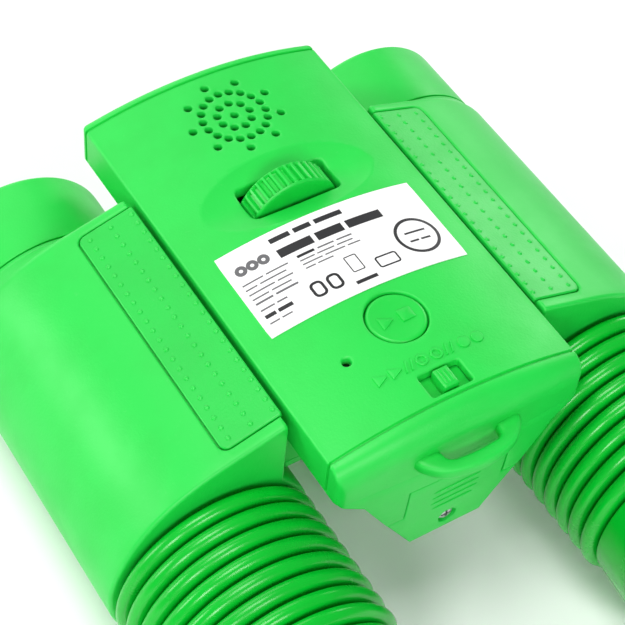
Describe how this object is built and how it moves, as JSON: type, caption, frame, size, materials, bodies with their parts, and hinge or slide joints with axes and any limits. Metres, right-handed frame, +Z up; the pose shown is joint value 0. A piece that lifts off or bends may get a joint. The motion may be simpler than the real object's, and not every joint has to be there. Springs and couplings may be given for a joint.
{
  "type": "toy binoculars",
  "caption": "Bright green toy binoculars with ribbed soft eyecups, focus wheel, voice recorder button, mode switch, speaker grille and battery hatch under the eyepiece end.",
  "frame": {"origin": "centre of the footprint, at the height of the surface the barrels lie on", "axes": "+X across the pair to the right barrel, +Y from the eyecups to the objectives, +Z up"},
  "size_m": [0.1444, 0.149, 0.0677],
  "materials": {
    "shell_green": "satin moulded, fine texture",
    "control_green": "semi-gloss moulded",
    "cup_green": "glossy soft vinyl",
    "label_white": "satin printed paper",
    "lens_glass": "polished",
    "black_plastic": "matt",
    "steel": "bright",
    "board_green": "solder mask",
    "cone_paper": "matt",
    "cell_wrap": "gloss"
  },
  "bodies": {
    "case_body": {"top_cover": "shell_green", "lower_housing": "shell_green", "bridge_cover": "shell_green", "board_post_near": "shell_green", "barrel_shell_left": "shell_green", "grip_panel_left": "shell_green", "objective_hood_left": "shell_green", "eyecup_left": "cup_green", "objective_lens_left": "lens_glass", "ocular_lens_left": "lens_glass", "objective_ring_left": "black_plastic", "ocular_mount_left": "black_plastic", "ocular_ring_left": "black_plastic", "barrel_shell_right": "shell_green", "grip_panel_right": "shell_green", "objective_hood_right": "shell_green", "eyecup_right": "cup_green", "objective_lens_right": "lens_glass", "ocular_lens_right": "lens_glass", "objective_ring_right": "black_plastic", "ocular_mount_right": "black_plastic", "ocular_ring_right": "black_plastic", "tact_switch": "black_plastic", "slide_switch": "steel", "microphone": "steel", "speaker_frame": "steel", "contact_plate_near": "steel", "contact_plate_far": "steel", "case_screw_near_left": "steel", "case_screw_near_right": "steel", "case_screw_far_left": "steel", "case_screw_far_right": "steel", "product_label": "label_white", "circuit_board": "board_green", "speaker_cone": "cone_paper", "battery_cell_1": "cell_wrap", "battery_cell_2": "cell_wrap", "battery_cell_3": "cell_wrap"},
    "focus_wheel_body": {"focus_wheel": "control_green", "focus_spindle": "steel"},
    "carriage_body": {"lens_carriage": "black_plastic", "focus_lens_left": "lens_glass", "focus_lens_right": "lens_glass"},
    "start_stop_button_body": {"start_stop_button": "control_green"},
    "mode_switch_body": {"mode_switch_knob": "control_green", "switch_lever": "black_plastic"},
    "battery_door_body": {"battery_door": "shell_green"},
    "battery_screw_body": {"battery_screw": "steel"}
  },
  "joints": [
    {"name": "focus_wheel_turn", "type": "hinge", "parent": "case_body", "child": "focus_wheel_body", "pos_m": [0, 0.0319, 0.0564], "axis": [0, 1, 0], "range_deg": [-240, 240]},
    {"name": "lens_carriage_slide", "type": "slide", "parent": "case_body", "child": "carriage_body", "axis": [0, 1, 0], "range_m": [-0.002, 0.002]},
    {"name": "start_stop_press", "type": "slide", "parent": "case_body", "child": "start_stop_button_body", "axis": [0, 0, -1], "range_m": [0, 0.001], "stiffness_N_per_m": 1200, "springref_m": -0.0003},
    {"name": "mode_switch_slide", "type": "slide", "parent": "case_body", "child": "mode_switch_body", "axis": [1, 0, 0], "range_m": [-0.0025, 0.0025]},
    {"name": "battery_door_off", "type": "slide", "parent": "case_body", "child": "battery_door_body", "axis": [0, 0, -1], "range_m": [0, 0.018]},
    {"name": "battery_screw_turn", "type": "hinge", "parent": "battery_door_body", "child": "battery_screw_body", "pos_m": [0, -0.03645, 0.0268], "axis": [0, 1, 0], "continuous": true}
  ],
  "couplings": [
    {"joint": "focus_wheel_turn", "follows": "lens_carriage_slide", "rad_per_m": 2094}
  ]
}
